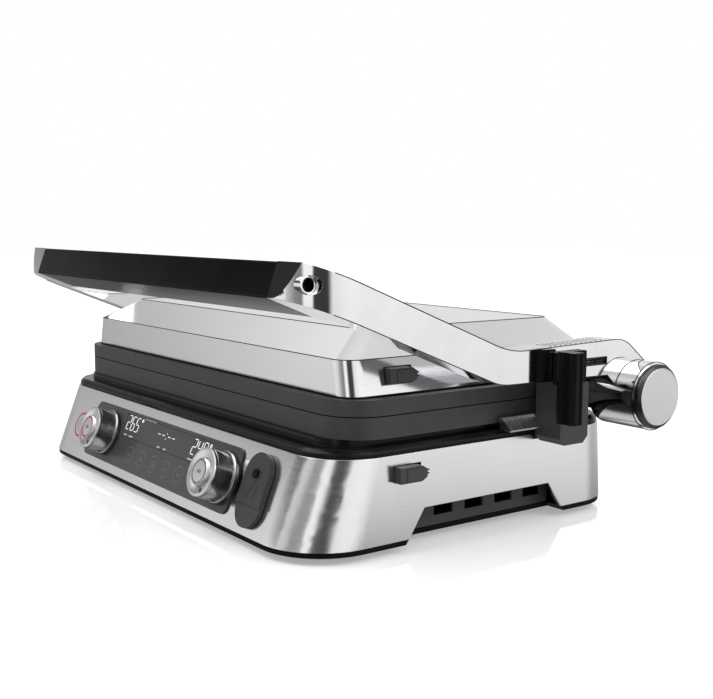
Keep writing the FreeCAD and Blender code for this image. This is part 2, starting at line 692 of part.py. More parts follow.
def inside_base():
    rails = [box((low, high), ("tray_front + 4", "base_rear - 6"), ("skirt_low", "rail_high"))
             for low, high in (("-tray_half + 2", "-tray_half + 10"), ("tray_half - 10", "tray_half - 2"))]
    finish(group(*rails), "tray_rails")
    outer = box(("-tray_half", "tray_half"), ("tray_front", "tray_rear"),
                ("tray_low", "tray_low + tray_tall"))
    hollow = box(("-tray_half + tray_wall", "tray_half - tray_wall"),
                 ("tray_front + tray_wall", "tray_rear - tray_wall"),
                 ("tray_low + tray_wall", "tray_low + tray_tall + 1"))
    finish(cut(outer, hollow), "drip_tray")
    board = box(("-base_half + 40", "-tray_half - 12"), ("tray_front", "tray_front + 90"),
                ("skirt_low + 6", "skirt_low + 6 + board_thick"))
    posts = [rod("z", "2.5", (x, y), "skirt_low", "skirt_low + 6")
             for x in ("-base_half + 45", "-tray_half - 17")
             for y in ("tray_front + 5", "tray_front + 85")]
    finish(join(board, *posts), "power_board")


def back_of_base():
    """Two rails to stand the press on end, and the inlet for the cord."""
    low, high = "tray_half + 14", "base_half - base_corner_rear - 2"
    depth = ("base_rear - 0.15", "base_rear + stand_deep")
    rail = box((low, high), depth, ("skirt_low + 5", "skirt_top - 8"))
    groove = box((f"{low} + 6", f"{high} - 6"), ("base_rear + 1.5", "base_rear + stand_deep + 1"),
                 ("skirt_low + 13", "skirt_top - 16"))
    right = cut(rail, groove)
    finish(group(right, mirrored(right)), "rear_stands")
    spot = ("-tray_half - 7", "skirt_top - 14")
    gland = tube("y", "gland_radius", "gland_bore", spot, "base_rear - 0.8",
                 "base_rear + stand_deep")
    finish(gland, "cord_gland")


def lid_tab():
    """The small steel tab on the deck's right rim."""
    body = new_body("tab")
    points = [("base_half - 12.6", "tab_front + 12"), ("base_half - 5", "tab_front + 1"),
              ("base_half + 3", "tab_front"), ("base_half + 7", "tab_front + 17"),
              ("base_half - 1", "tab_front + 28"), ("base_half - 12.6", "tab_front + 37")]
    feature(body, "Pad", polygon(body, "XY_Plane", "deck_rim", points), "tab_thick")
    finish(body, "lid_rest_tab")


# ---- arms, handle and hinge ----------------------------------------------------------------------

SLOPE = "tan(arm_slope)"
HANDLE_TOP = "handle_low + handle_tall"


def arm_profile():
    """The arm from the handle's front, down the slope, along the flat and back to the hub."""
    return [("0", "handle_low"),
            (f"(handle_low - arm_low_rear) / {SLOPE}", "arm_low_rear"),
            ("hinge_y - hub_radius * 1.3", "arm_low_rear - 1"),
            ("hinge_y - hub_radius * 0.82", "hinge_z + hub_radius * 0.2"),
            ("hinge_y + hub_radius * 0.4", "hinge_z + hub_radius * 0.6"),
            ("hinge_y + hub_radius * 0.4", "hinge_z + hub_radius * 0.9"),
            ("hinge_y - hub_radius * 0.6", "arm_high_rear + 2.5"),
            (f"handle_rake + ({HANDLE_TOP} - arm_high_rear) / {SLOPE}", "arm_high_rear"),
            ("handle_rake", HANDLE_TOP)]


def bar_profile():
    """The handle bar's section: a slab that follows the slope of the arms."""
    return [("0", "handle_low"), ("handle_deep", f"handle_low - handle_deep * {SLOPE}"),
            ("handle_deep + handle_rake", f"{HANDLE_TOP} - handle_deep * {SLOPE}"),
            ("handle_rake", HANDLE_TOP)]


def arm_form():
    """The right arm with its corner of the handle; the knees and the corner are rounded."""
    body = side_prism("arm", arm_profile(), "arm_inner", "arm_outer")
    corner = side_prism("corner", bar_profile(), "grip_half", "arm_inner + 1")
    middle = "(arm_inner + arm_outer) / 2"
    profile = arm_profile()
    soften(body, "front_knee", (middle, *profile[1]))
    soften(body, "top_knee", (middle, *profile[7]))
    soften(body, "rear_knee", (middle, *profile[6]))
    plan = slab("arm_plan", "foot_low", "handle_low + handle_tall * 2", "arm_outer", "0",
                "hinge_y + hub_radius", "corner_round", "1")
    rounded = DOC.addObject("Part::Common", "rounded")
    rounded.Base, rounded.Tool = join(body, corner), plan
    return rounded


def arm(side):
    """An arm with its hub, bored for the hinge shaft, the float pin and the adjuster's slot."""
    spot = ("hinge_y", "hinge_z")
    hub = rod("x", "hub_radius", spot, "arm_inner", "hub_outer")
    bore = rod("x", "shaft_radius + shaft_play", spot, "arm_inner - 20", "hub_outer + 1")
    pivot = rod("x", "float_radius + shaft_play", ("float_y", "float_z"), "arm_inner - 1",
                "arm_inner + 11")
    slot = box(("arm_outer - 9", "arm_outer + 1"), ("slot_front - 12", "slot_rear"),
               ("slot_low", "slot_high"))
    shape = cut(join(arm_form(), hub), bore, pivot, slot)
    if side == "right":
        holder = rod("x", "holder_radius", ("holder_y", "holder_z"), "arm_inner + 2", "arm_outer + 1")
        shape = cut(shape, holder)
    finish(shape if side == "right" else mirrored(shape), f"{side}_arm")


def hinge_caps():
    """Brushed discs that close the outer ends of the hubs."""
    spot = ("hinge_y", "hinge_z")
    cap = rod("x", "cap_radius", spot, "hub_outer", "hub_outer + cap_thick")
    finish(cap, "right_hinge_cap")
    finish(mirrored(rod("x", "cap_radius", spot, "hub_outer", "hub_outer + cap_thick")),
           "left_hinge_cap")


def handle():
    grip = side_prism("grip", bar_profile(), "0", "grip_half")
    soften(grip, "grip_round", ("grip_half / 2", "handle_deep", f"handle_low - handle_deep * {SLOPE}"),
           ("grip_half / 2", "handle_deep + handle_rake", f"{HANDLE_TOP} - handle_deep * {SLOPE}"))
    finish(join(grip, mirrored(grip)), "handle_grip")
    spot = ("holder_y", "holder_z")
    finish(tube("x", "holder_radius", "holder_radius - holder_wall", spot,
                "arm_inner + 2", "arm_inner + 9"), "probe_holder_ring")


def hinge_in_base():
    """The fixed shaft and the two plates that carry it behind the deck."""
    spot = ("hinge_y", "hinge_z")
    finish(rod("x", "shaft_radius", spot, "-hub_outer + 0.5", "hub_outer - 0.5"), "hinge_shaft")
    for side in ("right", "left"):
        lug = rod("x", "bracket_half", spot, "bracket_inner", "bracket_outer")
        web = box(("bracket_inner", "bracket_outer"),
                  ("hinge_y - bracket_half", "base_rear - side_lean - deck_inset - deck_step"),
                  ("deck_top", "hinge_z"))
        bore = rod("x", "shaft_radius", spot, "bracket_inner - 1", "bracket_outer + 1")
        plate = cut(join(lug, web), bore)
        finish(plate if side == "right" else mirrored(plate), f"{side}_hinge_bracket")


# ---- height adjuster -----------------------------------------------------------------------------

def adjuster():
    """A slider in the right arm's slot, with a thumb paddle outside and a foot below."""
    face = "arm_outer + clearance"
    plate = box((face, "slider_outer"), ("adjuster_front + 2", "adjuster_rear"),
                ("arm_low_rear - 3", "arm_high_rear - 2"))
    tongue = box(("arm_outer - 7", face), ("adjuster_front + 6", "adjuster_rear - 3"),
                 ("slot_low + clearance", "slot_high - clearance"))
    finish(join(plate, tongue), "adjuster_slider")
    finish(box(("foot_inner", "slider_outer"), ("adjuster_front + 6", "adjuster_rear + 2"),
               ("foot_low", "arm_low_rear - 3")), "adjuster_foot")
    paddle = box(("slider_outer", "paddle_outer"), ("adjuster_front", "adjuster_front + paddle_thick"),
                 ("paddle_low", "paddle_high"))
    finish(paddle, "adjuster_paddle")


# ---- upper housing -------------------------------------------------------------------------------

SHELL = [("shell_low", "shell_half_low", "shell_front", "shell_rear", "shell_corner",
          "shell_corner_rear"),
         ("shell_crease", "shell_half_mid", "shell_front + 0.5", "shell_rear - 1", "shell_corner",
          "shell_corner_rear"),
         ("shell_top", "shell_half_top", "shell_front_top", "shell_rear_top", "shell_corner * 0.8",
          "shell_corner_rear")]


def upper_shell():
    body = lofted(new_body("shell"), SHELL)
    tip = SHELL[2]
    inner = [inset(SHELL[0], "shell_wall"), inset(SHELL[1], "shell_wall"),
             inset(tip, "shell_wall * 2", "shell_top - shell_wall")]
    lofted(body, inner, "SubtractiveLoft")
    button = release_box("upper_button_y", "upper_button_z", "shell_half_mid - 12",
                         "shell_half_low + 5", "clearance")
    pins = rod("x", "float_radius + shaft_play", ("float_y", "float_z"), "-arm_outer", "arm_outer")
    finish(cut(body, button, pins), "upper_shell")


def upper_frame():
    """The black ring between the upper plate and the shell."""
    flange = slab("frame", "upper_plate_top", "shell_low", "shell_half_low", "shell_front",
                  "shell_rear - 4", "shell_corner", "shell_corner_rear")
    ring = rounded_outline(flange, "shell_low", *("shell_half_low - shell_wall - 1",) * 2,
                           "shell_front + shell_wall + 1", "shell_rear - shell_wall - 4",
                           "shell_corner - 2", "shell_corner_rear - 2")
    feature(flange, "Pad", ring, "frame_high - shell_low")
    sink(flange, "upper_plate_top", "frame_high", "well_half", "well_front", "well_rear", "well_corner",
         "well_corner")
    finish(flange, "upper_frame")


def upper_cooking():
    grid = "lower_plate_top + plate_gap + grid_deep - 1"
    grill_plate("upper_grill_plate", "upper_plate_top", "lower_plate_top + plate_gap", grid)
    heater("upper_heater", f"{grid} + grid_floor + 0.2 + heater_radius")
    tray = slab("tray", "frame_high", "frame_high + 1", "well_half + 3", "well_front - 3",
                "well_rear + 3", "well_corner - 1", "well_corner - 1")
    finish(tray, "upper_reflector")


def float_pins():
    """The pins on which the upper housing floats between the arms."""
    spot = ("float_y", "float_z")
    for side in ("right", "left"):
        pin = rod("x", "float_radius", spot, "shell_half_mid - 14", "arm_inner + 10")
        finish(pin if side == "right" else mirrored(pin), f"{side}_float_pin")
        block = box(("shell_half_mid - 14", "shell_half_mid - 4"), ("float_y - 10", "shell_rear - 6"),
                    ("frame_high", "min(float_z + 6; shell_crease)"))
        bore = rod("x", "float_radius", spot, "shell_half_mid - 15", "shell_half_mid")
        bracket = cut(block, bore)
        finish(bracket if side == "right" else mirrored(bracket), f"{side}_float_bracket")


# ---- the whole press -----------------------------------------------------------------------------

def build():
    steel_skirt()
    base_pan()
    feet_and_screws()
    side_vents()
    top_deck()
    lower_cooking()
    control_panel()
    dial("left")
    dial("right")
    probe_port()
    release("lower", "lower_button_y", "lower_button_z", "base_half - side_lean / 2")
    inside_base()
    back_of_base()
    lid_tab()
    arm("right")
    arm("left")
    hinge_caps()
    handle()
    hinge_in_base()
    adjuster()
    upper_shell()
    upper_frame()
    upper_cooking()
    float_pins()
    release("upper", "upper_button_y", "upper_button_z", "(shell_half_low + shell_half_mid) / 2")


def check_and_export():
    DOC.recompute()
    failed = [thing.Label for thing in DOC.Objects if {"Invalid", "Error"} & set(thing.State)]
    wrong = [piece.Label for piece in PIECES if piece.Shape.isNull() or not piece.Shape.isValid()]
    if failed or wrong:
        raise SystemExit(f"failed objects: {failed}; bad shapes: {wrong}")
    os.makedirs("parts", exist_ok=True)
    for piece in PIECES:
        piece.Shape.exportStep(f"parts/{piece.Label}.step")
    print(len(PIECES), "pieces written")


build()
check_and_export()
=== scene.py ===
import json
import math

import bmesh
import bpy
from mathutils import Matrix, Vector
from mathutils.bvhtree import BVHTree


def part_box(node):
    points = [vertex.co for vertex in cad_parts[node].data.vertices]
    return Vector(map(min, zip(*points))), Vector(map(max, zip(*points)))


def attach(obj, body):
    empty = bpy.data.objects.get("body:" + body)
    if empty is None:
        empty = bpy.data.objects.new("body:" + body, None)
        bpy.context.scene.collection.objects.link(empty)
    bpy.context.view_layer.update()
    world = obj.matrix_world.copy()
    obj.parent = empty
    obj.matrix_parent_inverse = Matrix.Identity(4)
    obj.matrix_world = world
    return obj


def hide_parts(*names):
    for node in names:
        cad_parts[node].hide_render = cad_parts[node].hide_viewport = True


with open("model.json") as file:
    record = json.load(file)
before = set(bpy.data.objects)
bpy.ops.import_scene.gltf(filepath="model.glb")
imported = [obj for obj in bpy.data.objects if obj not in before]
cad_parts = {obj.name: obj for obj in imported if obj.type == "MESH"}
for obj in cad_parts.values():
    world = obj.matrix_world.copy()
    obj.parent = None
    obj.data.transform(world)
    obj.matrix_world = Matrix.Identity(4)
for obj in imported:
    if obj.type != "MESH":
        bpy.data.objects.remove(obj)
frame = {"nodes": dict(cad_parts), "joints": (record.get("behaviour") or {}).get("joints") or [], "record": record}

# Lengths are in millimetres where a name or a table says so, and MM turns them into metres.
MM = 0.001

# The camera's place in metres, and its direction in degrees: the azimuth is from the front towards the right.
CAMERA_PLACE = Vector((0.64019, -0.42001, 0.18276))
CAMERA_AZIMUTH = 53.83
CAMERA_ELEVATION = 6.71
CAMERA_ROLL = 0.21
CAMERA_LENS = 53.52
CAMERA_SENSOR = 36.0

X_AXIS = Vector((1, 0, 0))

JOINTS = {joint["name"]: joint for joint in frame["joints"]}
BODY_OF = {node: body for body, nodes in frame["record"]["behaviour"]["bodies"].items() for node in nodes}


# ---- what the frame says about a node ------------------------------------------------------------

def corners(node):
    """A node's lowest and highest corner, in millimetres."""
    low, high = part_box(node)
    return low / MM, high / MM


def points(node):
    """The places of a node's points, in metres."""
    return [vertex.co for vertex in frame["nodes"][node].data.vertices]


# ---- shader nodes --------------------------------------------------------------------------------

def feed(tree, socket, value):
    """Links an output to the socket, or sets the socket to a plain value."""
    if isinstance(value, bpy.types.NodeSocket):
        tree.links.new(value, socket)
    else:
        socket.default_value = value


def mixed(tree, share, one, other, blend="MIX"):
    """Colour one going over to colour other by a share from 0 to 1."""
    node = tree.nodes.new("ShaderNodeMix")
    node.data_type = "RGBA"
    node.blend_type = blend
    for socket, value in (("Factor", share), ("A", one), ("B", other)):
        feed(tree, node.inputs[socket], value)
    return node.outputs["Result"]


def mapped(tree, value, low, high, onto=(0.0, 1.0), curve="LINEAR"):
    """The value's range from low to high carried over onto another range."""
    node = tree.nodes.new("ShaderNodeMapRange")
    node.interpolation_type = curve
    for socket, number in (("From Min", low), ("From Max", high), ("To Min", onto[0]), ("To Max", onto[1])):
        node.inputs[socket].default_value = number
    feed(tree, node.inputs["Value"], value)
    return node.outputs["Result"]


def maths(tree, operation, one, other):
    """One number made from two."""
    node = tree.nodes.new("ShaderNodeMath")
    node.operation = operation
    feed(tree, node.inputs[0], one)
    feed(tree, node.inputs[1], other)
    return node.outputs["Value"]


def grey(value, blue=0.0):
    """A neutral colour, with a little more blue if asked."""
    return (value, value, value + blue)


# ---- materials -----------------------------------------------------------------------------------

class Recipe:
    """A principled material under construction, with short names for its nodes."""

    def __init__(self, name):
        self.material = bpy.data.materials.new(name)
        self.material.use_nodes = True
        self.tree = self.material.node_tree
        self.shader = self.tree.nodes["Principled BSDF"]
        self.place = self.tree.nodes.new("ShaderNodeTexCoord").outputs["Object"]

    def set(self, **values):
        """Sets sockets of the shader, named with _ for each space."""
        for socket, value in values.items():
            self.shader.inputs[socket.replace("_", " ")].default_value = value

    def noise(self, stretch, detail=3.0, distortion=0.0):
        """Noise in object space; stretch is how many features fit in a metre along X, Y and Z."""
        mapping = self.tree.nodes.new("ShaderNodeMapping")
        mapping.inputs["Scale"].default_value = stretch
        texture = self.tree.nodes.new("ShaderNodeTexNoise")
        texture.inputs["Scale"].default_value = 1.0
        texture.inputs["Detail"].default_value = detail
        texture.inputs["Roughness"].default_value = 0.55
        texture.inputs["Distortion"].default_value = distortion
        self.tree.links.new(self.place, mapping.inputs["Vector"])
        self.tree.links.new(mapping.outputs["Vector"], texture.inputs["Vector"])
        return texture.outputs["Fac"]

    def tint(self, value, dark, light, low=0.3, high=0.7):
        """A ramp from dark to light."""
        ramp = self.tree.nodes.new("ShaderNodeValToRGB")
        first, last = ramp.color_ramp.elements
        first.position, first.color = low, (*dark, 1)
        last.position, last.color = high, (*light, 1)
        self.tree.links.new(value, ramp.inputs["Fac"])
        return ramp.outputs["Color"]

    def between(self, value, low, high):
        """The value's middle part mapped onto low to high."""
        return mapped(self.tree, value, 0.3, 0.7, onto=(low, high))

    def times(self, one, other):
        """Two colours multiplied."""
        return mixed(self.tree, 1.0, one, other, "MULTIPLY")

    def bump(self, height, strength, distance=0.0002):
        """Fine relief; distance is its depth in metres."""
        node = self.tree.nodes.new("ShaderNodeBump")
        node.inputs["Strength"].default_value = strength
        node.inputs["Distance"].default_value = distance
        self.tree.links.new(height, node.inputs["Height"])
        self.tree.links.new(node.outputs["Normal"], self.shader.inputs["Normal"])

    def colour(self, output):
        self.tree.links.new(output, self.shader.inputs["Base Color"])

    def roughness(self, output):
        self.tree.links.new(output, self.shader.inputs["Roughness"])


def metal(name, dark, light, rough, grain, streaks):
    """Bare metal: fine grain along the brushing, and wide soft smears from handling."""
    recipe = Recipe(name)
    recipe.set(Metallic=1.0)
    fine = recipe.noise(grain, detail=4.0)
    smears = recipe.tint(recipe.noise((14, 14, 14), detail=2.0), grey(0.97), grey(1.0))
    recipe.colour(recipe.times(recipe.tint(fine, dark, light), smears))
    recipe.roughness(recipe.between(fine, *rough))
    recipe.bump(fine, streaks)
    return recipe.material


def plastic(name, dark, light, rough, grain, pits, specular):
    """Moulded plastic: a fine spark-eroded grain and a slight cloudiness."""
    recipe = Recipe(name)
    recipe.set(Specular_IOR_Level=specular)
    fine = recipe.noise((grain, grain, grain))
    cloud = recipe.noise((22, 22, 22), detail=2.0)
    recipe.colour(recipe.tint(cloud, dark, light))
    recipe.roughness(recipe.between(fine, *rough))
    recipe.bump(fine, pits, distance=0.0001)
    return recipe.material


def cast_coating():
    """Non-stick coating on cast aluminium: dark grey with fine light specks."""
    recipe = Recipe("nonstick_cast")
    recipe.set(Specular_IOR_Level=0.32)
    specks = recipe.noise((2600, 2600, 2600), detail=1.0)
    cloud = recipe.noise((30, 30, 30))
    body = recipe.tint(cloud, grey(0.034, 0.001), grey(0.042, 0.001))
    dots = recipe.tint(specks, grey(0.96), grey(1.0), low=0.55, high=0.75)
    recipe.colour(recipe.times(body, dots))
    recipe.roughness(recipe.between(specks, 0.34, 0.46))
    recipe.bump(specks, 0.12, distance=0.00006)
    return recipe.material


def heated_steel():
    """Steel that heat has blued in soft bands."""
    recipe = Recipe("dark_steel")
    recipe.set(Metallic=1.0)
    bands = recipe.noise((26, 26, 26), distortion=0.6)
    fine = recipe.noise((500, 500, 500))
    recipe.colour(recipe.tint(bands, (0.20, 0.17, 0.16), (0.27, 0.28, 0.31)))
    recipe.roughness(recipe.between(fine, 0.30, 0.48))
    recipe.bump(fine, 0.1)
    return recipe.material


def printed_board():
    """Green solder mask over copper tracks."""
    recipe = Recipe("circuit_board")
    recipe.set(Coat_Weight=0.3, Coat_Roughness=0.2)
    tracks = recipe.tree.nodes.new("ShaderNodeTexBrick")
    tracks.inputs["Scale"].default_value = 260.0
    tracks.inputs["Mortar Size"].default_value = 0.06
    tracks.inputs["Color1"].default_value = (0.02, 0.12, 0.05, 1)
    tracks.inputs["Color2"].default_value = (0.03, 0.15, 0.06, 1)
    tracks.inputs["Mortar"].default_value = (0.09, 0.24, 0.10, 1)
    recipe.tree.links.new(recipe.place, tracks.inputs["Vector"])
    recipe.colour(tracks.outputs["Color"])
    recipe.roughness(recipe.between(recipe.noise((900, 900, 900)), 0.35, 0.5))
    return recipe.material


def ink(name, colour, glow=0.0):
    """Printed or lit markings, slightly uneven like screen print."""
    recipe = Recipe(name)
    uneven = recipe.noise((1500, 1500, 1500), detail=2.0)
    worn = tuple(channel * 0.9 for channel in colour)
    recipe.colour(recipe.tint(uneven, worn, colour))
    recipe.roughness(recipe.between(uneven, 0.4, 0.55))
    if glow:
        recipe.set(Emission_Color=(*colour, 1), Emission_Strength=glow)
    return recipe.material


STREAK = 4200   # brush lines in a metre
METALS = {   # dark, light, roughness, features in a metre along X, Y and Z, strength of the grain
    "brushed_steel": (grey(0.80, 0.012), grey(0.88, 0.012), (0.17, 0.24), (24, 24, STREAK), 0.012),
    "polished_steel": (grey(0.80, 0.010), grey(0.85, 0.010), (0.12, 0.16), (STREAK, 24, 24), 0.006),
    "polished_metal": (grey(0.80, 0.012), grey(0.86, 0.012), (0.05, 0.08), (60, 60, 60), 0.003),
    "chrome_trim": (grey(0.80, 0.01), grey(0.87, 0.01), (0.04, 0.08), (90, 90, 90), 0.003),
    "turned_metal": (grey(0.78, 0.01), grey(0.83, 0.01), (0.26, 0.32), (3000, 3000, 3000), 0.006),
    "smoked_chrome": (grey(0.30), grey(0.38), (0.14, 0.22), (160, 160, 160), 0.006),
    "zinc_screw": ((0.50, 0.49, 0.45), (0.66, 0.65, 0.60), (0.30, 0.45), (500, 500, 500), 0.08),
    "bright_aluminium": (grey(0.70), grey(0.82), (0.22, 0.34), (12, STREAK, 12), 0.05),
    # edge_shade is painted shade: dark metal for the thin lines along sharp edges and creases, the hinge caps'
    # bevels and the holder ring's recess.
    "edge_shade": (grey(0.055), grey(0.075), (0.25, 0.35), (200, 200, 200), 0.01),
}
PLASTICS = {   # dark, light, roughness, features in a metre, strength of the grain, specular level
    "grey_plastic": (grey(0.034, 0.003), grey(0.041, 0.004), (0.38, 0.50), 2600, 0.08, 0.3),
    "black_plastic": (grey(0.004, 0.0005), grey(0.007, 0.0005), (0.18, 0.26), 2600, 0.03, 0.07),
    "black_gloss": (grey(0.006, 0.0005), grey(0.008, 0.0005), (0.14, 0.20), 900, 0.01, 0.14),
    "panel_gloss": (grey(0.048, 0.002), grey(0.054, 0.002), (0.18, 0.26), 900, 0.01, 0.25),
    "rubber": (grey(0.012), grey(0.020), (0.65, 0.85), 1800, 0.3, 0.3),
}
INKS = {   # colour, and how much it glows
    "ink_red": ((0.36, 0.012, 0.03), 0.0),
    "ink_white": ((0.80, 0.83, 0.86), 0.45),
    "ink_light": ((0.45, 0.46, 0.48), 0.12),
    "ink_soft": ((0.13, 0.13, 0.135), 0.0),
    "ink_dark": ((0.02, 0.02, 0.022), 0.0),
    "ink_green": ((0.17, 0.22, 0.17), 0.0),
}
LOOKS = {name: metal(name, *values) for name, values in METALS.items()}
LOOKS.update({name: plastic(name, *values) for name, values in PLASTICS.items()})
LOOKS.update({name: ink(name, *values) for name, values in INKS.items()})
LOOKS.update(dark_steel=heated_steel(), nonstick_cast=cast_coating(), circuit_board=printed_board())


# ---- mesh helpers --------------------------------------------------------------------------------

WELD = 0.01         # points nearer than this, in millimetres, are one
FLAT = 0.6          # faces that turn by less than this, in degrees, are one
BEVELLED = 28       # edges that turn by more than this, in degrees, are rounded


def is_sharp(edge, angle):
    """Whether the two faces at an edge turn by more than angle degrees."""
    return len(edge.link_faces) == 2 and edge.calc_face_angle() > math.radians(angle)


def rounded_edges(mesh, width, segments=2):
    """Bevels every sharp edge; width is in millimetres."""
    sharp = [edge for edge in mesh.edges if is_sharp(edge, BEVELLED)]
    if sharp and width:
        bmesh.ops.bevel(mesh, geom=sharp, offset=width * MM, offset_type="OFFSET", segments=segments,
                        profile=0.5, affect="EDGES", clamp_overlap=True)


def piece(name, mesh, finish, body, stands_for=(), smooth=32, finishes=()):
    """Makes the object from a bmesh in metres; smooth is the widest angle that shades as round."""
    bmesh.ops.recalc_face_normals(mesh, faces=mesh.faces)
    for face in mesh.faces:
        face.smooth = True
    for edge in mesh.edges:
        edge.smooth = len(edge.link_faces) == 2 and edge.calc_face_angle() < math.radians(smooth)
    data = bpy.data.meshes.new(name)
    mesh.to_mesh(data)
    mesh.free()
    thing = bpy.data.objects.new(name, data)
    bpy.context.scene.collection.objects.link(thing)
    for look in (finish, *finishes):
        data.materials.append(LOOKS[look])
    normals = thing.modifiers.new("weighted", "WEIGHTED_NORMAL")
    normals.keep_sharp = True
    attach(thing, body)
    if stands_for:
        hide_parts(*stands_for)


def whole_faces(node):
    """The node's own form as a bmesh, with its flat faces made whole."""
    mesh = bmesh.new()
    mesh.from_mesh(frame["nodes"][node].data)
    for face in mesh.faces:
        face.material_index = 0
    bmesh.ops.remove_doubles(mesh, verts=mesh.verts, dist=WELD * MM)
    bmesh.ops.dissolve_degenerate(mesh, edges=mesh.edges, dist=WELD * MM)
    bmesh.ops.dissolve_limit(mesh, angle_limit=math.radians(FLAT), verts=mesh.verts, edges=mesh.edges)
    return mesh


def refined(node, finish, width, segments=2, smooth=32):
    """The node's own form with its sharp edges rounded."""
    mesh = whole_faces(node)
    rounded_edges(mesh, width, segments)
    piece(f"{node}_shown", mesh, finish, BODY_OF[node], [node], smooth=smooth)


def join_rings(mesh, rings, whole=False):
    """Faces from ring to ring; a whole band's last ring joins its first, and else both ends are closed."""
    for one, two in zip(rings, rings[1:] + rings[:1] if whole else rings[1:]):
        for side in range(len(one)):
            after = (side + 1) % len(one)
            mesh.faces.new([one[side], one[after], two[after], two[side]])
    if not whole:
        mesh.faces.new(rings[0][::-1])
        mesh.faces.new(rings[-1])


def edge_lines(name, node, half, angle, chosen=None):
    """Thin strips of painted shade along the node's sharp edges; half is half their thickness in millimetres."""
    form = whole_faces(node)
    strips = bmesh.new()
    for edge in form.edges:
        if not is_sharp(edge, angle) or (chosen and not chosen(edge)):
            continue
        start, end = (vertex.co for vertex in edge.verts)
        out = (edge.link_faces[0].normal + edge.link_faces[1].normal).normalized() * half * MM
        across = (end - start).normalized().cross(out)
        if across.length < half * MM * 0.5:
            continue
        rings = [[strips.verts.new(spot + offset) for offset in (out, across, -out, -across)]
                 for spot in (start, end)]
        join_rings(strips, rings)
    form.free()
    piece(name, strips, "edge_shade", BODY_OF[node], smooth=10)


def plain(node, finish):
    """Keeps the node as it is and gives it its finish."""
    data = frame["nodes"][node].data
    data.materials.clear()
    data.materials.append(LOOKS[finish])


def lathe(profile, centre, axis, steps=96, closed=False, marks=None):
    """Turns (radius, height) pairs in millimetres round axis; marks gives each span's finish."""
    side = axis.orthogonal().normalized()
    other = axis.cross(side)
    mesh = bmesh.new()
    rings = []
    for radius, height in profile:
        if radius == 0:
            rings.append([mesh.verts.new(centre + axis * height * MM)])
            continue
        ring = []
        for step in range(steps):
            turn = 2 * math.pi * step / steps
            spoke = side * math.cos(turn) + other * math.sin(turn)
            ring.append(mesh.verts.new(centre + spoke * radius * MM + axis * height * MM))
        rings.append(ring)
    spans = list(zip(rings, rings[1:])) + ([(rings[-1], rings[0])] if closed else [])
    for index, (low, high) in enumerate(spans):
        for step in range(steps):
            after = (step + 1) % steps
            if len(low) == 1:
                around = [low[0], high[step], high[after]]
            elif len(high) == 1:
                around = [low[step], low[after], high[0]]
            else:
                around = [low[step], low[after], high[after], high[step]]
            face = mesh.faces.new(around)
            if marks:
                face.material_index = marks[index]
    return mesh


def add_solid(mesh, outline, low, high, spot):
    """Adds a closed prism: outline holds (a, b) in millimetres, and spot turns (a, b, c) into a place."""
    join_rings(mesh, [[mesh.verts.new(spot(a, b, level)) for a, b in outline] for level in (low, high)])


def solid(outline, low, high, spot):
    """The same prism in a mesh of its own."""
    mesh = bmesh.new()
    add_solid(mesh, outline, low, high, spot)
    return mesh


def on_circle(centre, radius, angle):
    """A point on a circle, at an angle in degrees."""
    turn = math.radians(angle)
    return (centre[0] + radius * math.cos(turn), centre[1] + radius * math.sin(turn))


def arc(centre, radius, start, end, steps):
    """Points along an arc, in degrees."""
    return [on_circle(centre, radius, start + (end - start) * step / steps) for step in range(steps + 1)]


def ring_band(mesh, centre, inner, outer, low, high, spot, start=0, end=360, steps=48):
    """A flat band between two radii, whole or part of a turn."""
    whole = end - start >= 360
    section = ((inner, low), (outer, low), (outer, high), (inner, high))
    rings = []
    for step in range(steps + (not whole)):
        angle = start + (end - start) * step / steps
        rings.append([mesh.verts.new(spot(*on_circle(centre, radius, angle), height))
                      for radius, height in section])
    join_rings(mesh, rings, whole)


def bar(mesh, start, end, width, low, high, spot):
    """A straight stroke between two points."""
    (a, b), (c, d) = start, end
    length = math.hypot(c - a, d - b)
    across = ((b - d) / length * width / 2, (c - a) / length * width / 2)
    outline = [(a + across[0], b + across[1]), (a - across[0], b - across[1]),
               (c - across[0], d - across[1]), (c + across[0], d + across[1])]
    add_solid(mesh, outline[::-1], low, high, spot)


# ---- places seen from one side, in millimetres ---------------------------------------------------

def from_side(a, b, c):
    """Along Y, up Z and out X."""
    return Vector((c, a, b)) * MM


def from_front(a, b, c):
    """Along X, up Z and back Y."""
    return Vector((a, c, b)) * MM


def from_above(a, b, c):
    """Along X, back Y and up Z."""
    return Vector((a, b, c)) * MM


# ---- the leaning front ---------------------------------------------------------------------------

FRONT_NORMAL = Vector(JOINTS["left_dial_turn"]["axis"])
FRONT_UP = Vector((0, FRONT_NORMAL.z, -FRONT_NORMAL.y))
DIAL_CENTRES = {side: Vector(JOINTS[f"{side}_dial_turn"]["pos_m"]) for side in ("left", "right")}
FRONT_LEVEL = Vector((0, DIAL_CENTRES["left"].y, DIAL_CENTRES["left"].z))


def front_from(centre):
    """The leaning front's places from a centre: across, up the slope and out from the steel."""
    def spot(across, up, out):
        return centre + X_AXIS * across * MM + FRONT_UP * up * MM + FRONT_NORMAL * out * MM
    return spot


front = front_from(FRONT_LEVEL)
SUNK = 0.3          # how deep a mark on a surface starts, in millimetres


def reach(node):
    """How far a node stands out of the steel front, in millimetres."""
    return max((point - FRONT_LEVEL).dot(FRONT_NORMAL) for point in points(node)) / MM


def rise(node):
    """A node's lowest and highest place up the leaning front, in millimetres from the dials' height."""
    ups = [(point - FRONT_LEVEL).dot(FRONT_UP) / MM for point in points(node)]
    return min(ups), max(ups)


def knob_radius(node, centre):
    """The largest distance of a node's points from its axis, in millimetres."""
    spokes = [point - centre for point in points(node)]
    return max((spoke - FRONT_NORMAL * spoke.dot(FRONT_NORMAL)).length for spoke in spokes) / MM


